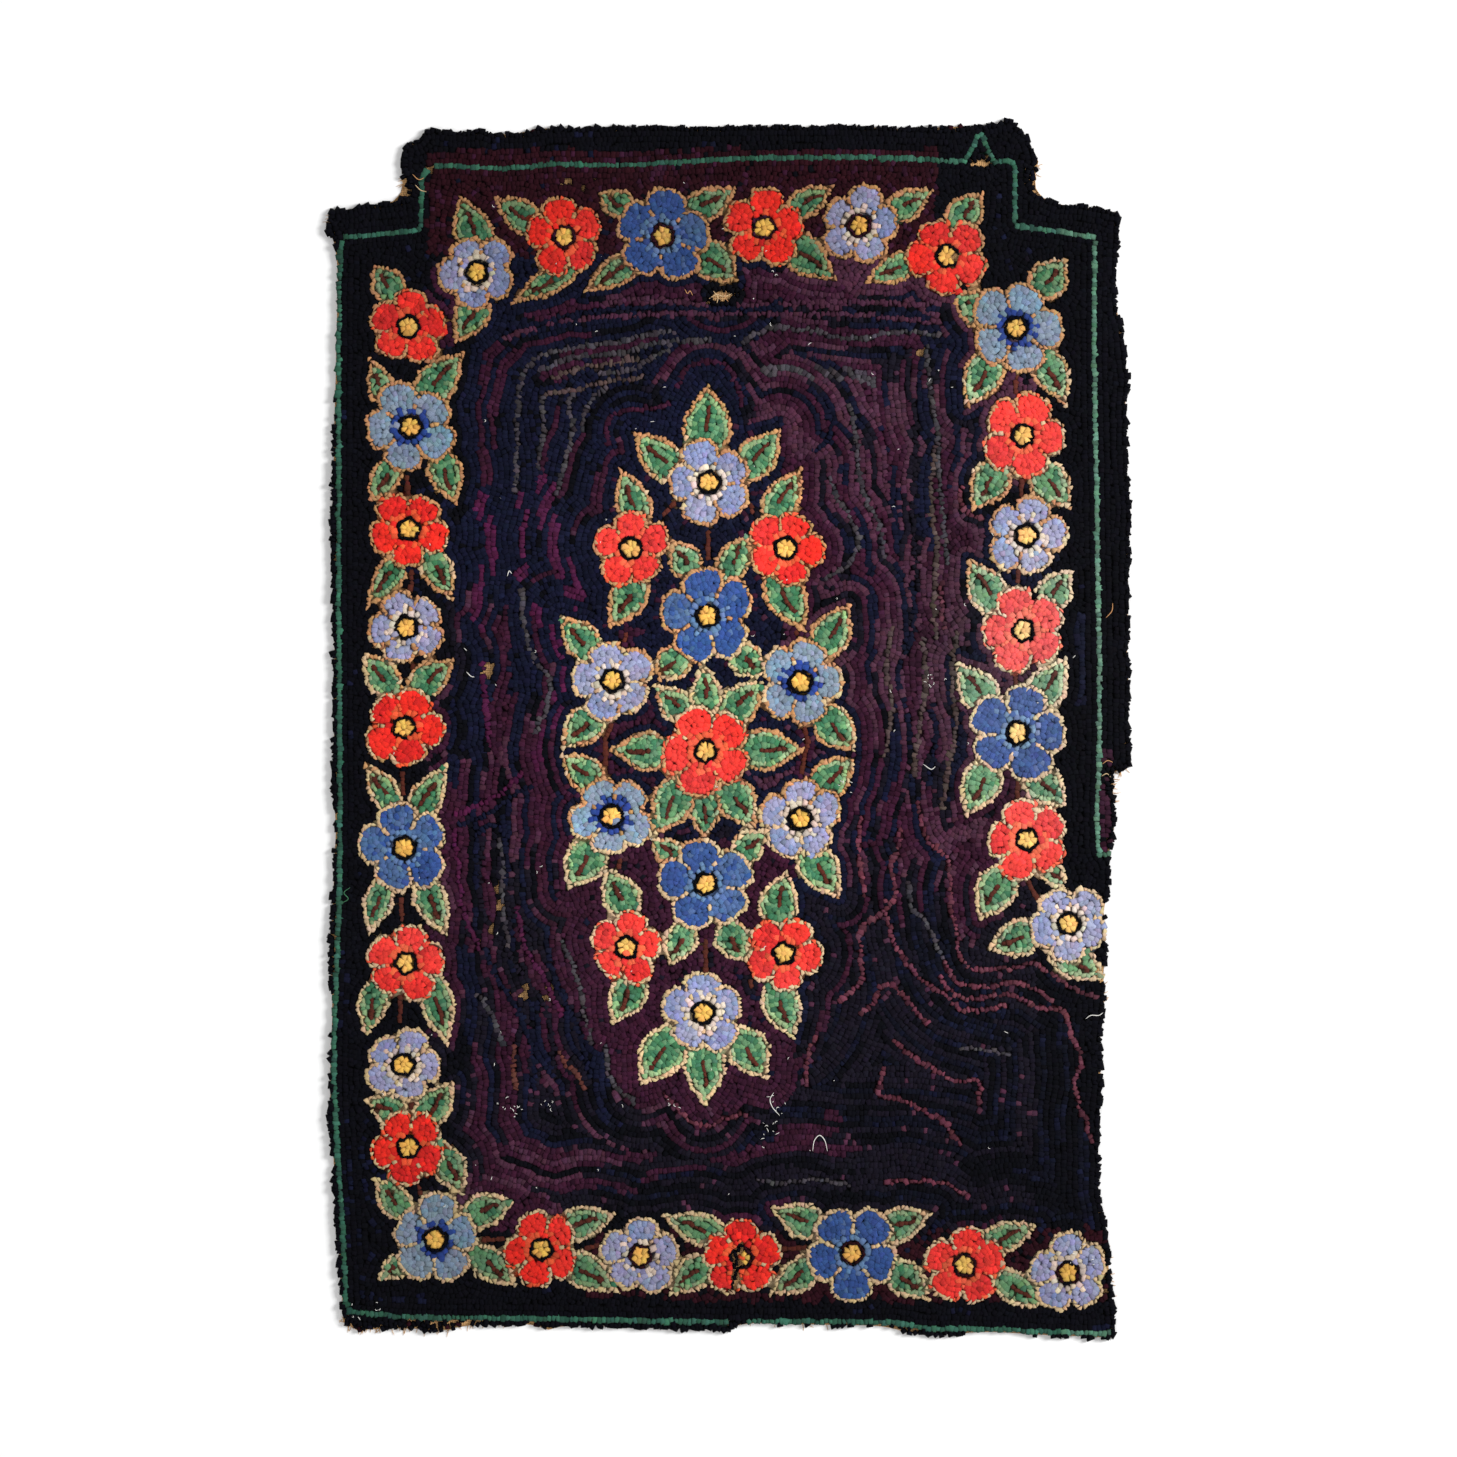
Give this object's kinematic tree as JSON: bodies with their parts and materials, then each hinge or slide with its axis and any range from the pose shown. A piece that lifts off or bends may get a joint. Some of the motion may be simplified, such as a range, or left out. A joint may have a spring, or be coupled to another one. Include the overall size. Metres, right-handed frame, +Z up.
{
  "type": "hooked rug",
  "caption": "Flat hooked rug with stepped upper corners, wool loops over a burlap foundation, floral border and centre spray, torn back along its lower right edge.",
  "frame": {"origin": "on the floor, in the middle of the rug's bounding box", "axes": "+Z up out of the pile, +Y along the rug's length towards the end with the stepped corners, +X across to the right seen from above"},
  "size_m": [0.9276, 1.4054, 0.0094],
  "materials": {
    "burlap": "coarse plain-woven jute cloth, dry and matt",
    "wool_ground": "matt wool loops in black, navy, plum and charcoal",
    "wool_green": "matt wool loops, mottled mid green",
    "wool_tan": "matt wool loops, natural tan",
    "wool_red": "matt wool loops, scarlet with coral hearts",
    "wool_blue": "matt wool loops in royal, slate and lilac blue",
    "wool_yellow": "matt wool loops, warm yellow",
    "wool_brown": "matt wool loops, rust brown"
  },
  "bodies": {
    "root": {"foundation": "burlap", "pile": "wool_ground"}
  },
  "joints": []
}
